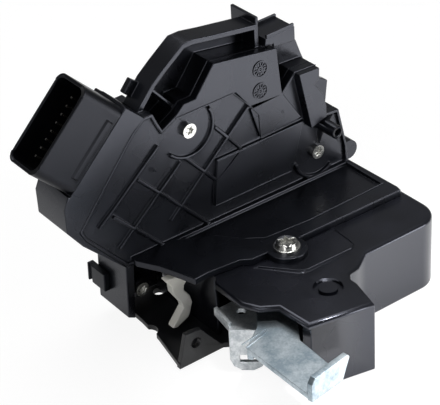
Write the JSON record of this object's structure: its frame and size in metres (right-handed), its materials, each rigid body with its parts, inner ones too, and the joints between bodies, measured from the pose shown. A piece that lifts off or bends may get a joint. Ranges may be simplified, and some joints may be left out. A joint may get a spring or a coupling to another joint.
{
  "type": "door latch actuator",
  "caption": "Vehicle door latch with claw and pawl under a deep moulded cover, and an upright ribbed housing with plug socket, worm-geared locking motors and release levers.",
  "frame": {"origin": "centre of fixing hole A on the flat underside of the face plate", "axes": "+Z from the face plate up into the latch, X along the ribbed face of the upright housing, +Y into that housing, away from its lid"},
  "size_m": [0.165, 0.133, 0.1206],
  "materials": {
    "black_plastic": "satin moulded black, fine texture",
    "black_steel": "electro-coated black",
    "zinc_steel": "bluish white zinc plating",
    "bright_steel": "bright zinc",
    "spring_steel": "drawn wire",
    "natural_nylon": "natural nylon, satin",
    "gear_plastic": "natural acetal",
    "worm_plastic": "black acetal",
    "tin": "tinned blades",
    "rubber_black": "soft matte",
    "switch_plastic": "matte"
  },
  "bodies": {
    "housing": {"face_plate": "black_steel", "back_plate": "black_steel", "claw_pin": "bright_steel", "pawl_pin": "bright_steel", "lever_pin": "bright_steel", "latch_cover": "black_plastic", "striker_buffer": "rubber_black", "claw_spring": "spring_steel", "pawl_spring": "spring_steel", "inside_pin": "bright_steel", "case": "black_plastic", "lid": "black_plastic", "housing_seal": "rubber_black", "plug_shell": "black_plastic", "plug_blades": "tin", "blade_carrier": "switch_plastic", "lock_motor": "bright_steel", "deadlock_motor": "bright_steel", "circuit_carrier": "switch_plastic", "position_switches": "switch_plastic", "lid_screws": "bright_steel", "low_screw": "bright_steel", "clamp_screw": "bright_steel", "lever_spring": "spring_steel", "inside_spring": "spring_steel", "harness_clip": "black_plastic"},
    "claw": {"claw": "black_steel", "claw_skin": "black_plastic"},
    "pawl": {"pawl": "black_steel"},
    "release_lever": {"release_lever": "zinc_steel"},
    "lock_lever": {"lock_lever": "zinc_steel"},
    "inside_lever": {"inside_lever": "natural_nylon"},
    "lock_wheel": {"lock_wheel": "gear_plastic"},
    "lock_worm": {"lock_worm": "worm_plastic"},
    "deadlock_wheel": {"deadlock_wheel": "gear_plastic"},
    "deadlock_worm": {"deadlock_worm": "worm_plastic"},
    "key_hub": {"key_hub": "worm_plastic"}
  },
  "joints": [
    {"name": "claw_turn", "type": "hinge", "parent": "housing", "child": "claw", "pos_m": [0.067, -0.026, 0.0055], "axis": [0, 0, 1], "range_deg": [0, 62], "stiffness_Nm_per_rad": 0.02, "springref_deg": -17.19},
    {"name": "pawl_release", "type": "hinge", "parent": "housing", "child": "pawl", "pos_m": [0.0205, -0.0355, 0.0055], "axis": [0, 0, -1], "range_deg": [0, 8], "stiffness_Nm_per_rad": 0.03, "springref_deg": -17.19},
    {"name": "release_pull", "type": "hinge", "parent": "housing", "child": "release_lever", "pos_m": [0.006, -0.046, 0.02475], "axis": [0, 0, -1], "range_deg": [0, 10], "stiffness_Nm_per_rad": 0.1, "springref_deg": -17.19},
    {"name": "lock_lever_turn", "type": "hinge", "parent": "housing", "child": "lock_lever", "pos_m": [0.006, -0.046, 0.02], "axis": [0, 0, -1], "range_deg": [0, 6], "stiffness_Nm_per_rad": 0.05, "springref_deg": -17.19},
    {"name": "inside_pull", "type": "hinge", "parent": "housing", "child": "inside_lever", "pos_m": [-0.021, -0.015, 0.0282], "axis": [0, -1, 0], "range_deg": [0, 9], "stiffness_Nm_per_rad": 0.02, "springref_deg": -17.19},
    {"name": "lock_drive", "type": "hinge", "parent": "housing", "child": "lock_wheel", "pos_m": [0.014, 0.012, 0.075], "axis": [0, -1, 0], "range_deg": [0, 90]},
    {"name": "lock_worm_spin", "type": "hinge", "parent": "housing", "child": "lock_worm", "pos_m": [0.014, 0.012, 0.09], "axis": [1, 0, 0], "range_deg": [0, 2160]},
    {"name": "deadlock_drive", "type": "hinge", "parent": "housing", "child": "deadlock_wheel", "pos_m": [0.0315, 0.012, 0.046], "axis": [0, -1, 0], "range_deg": [0, 90]},
    {"name": "deadlock_worm_spin", "type": "hinge", "parent": "housing", "child": "deadlock_worm", "pos_m": [0.0315, 0.012, 0.058], "axis": [1, 0, 0], "range_deg": [0, 1620]},
    {"name": "key_turn", "type": "hinge", "parent": "housing", "child": "key_hub", "pos_m": [-0.018, 0.02, 0.048], "axis": [0, 1, 0], "range_deg": [-60, 60], "stiffness_Nm_per_rad": 0.02}
  ],
  "couplings": [
    {"joint": "lock_worm_spin", "follows": "lock_drive", "ratio": 24},
    {"joint": "deadlock_worm_spin", "follows": "deadlock_drive", "ratio": 18}
  ]
}
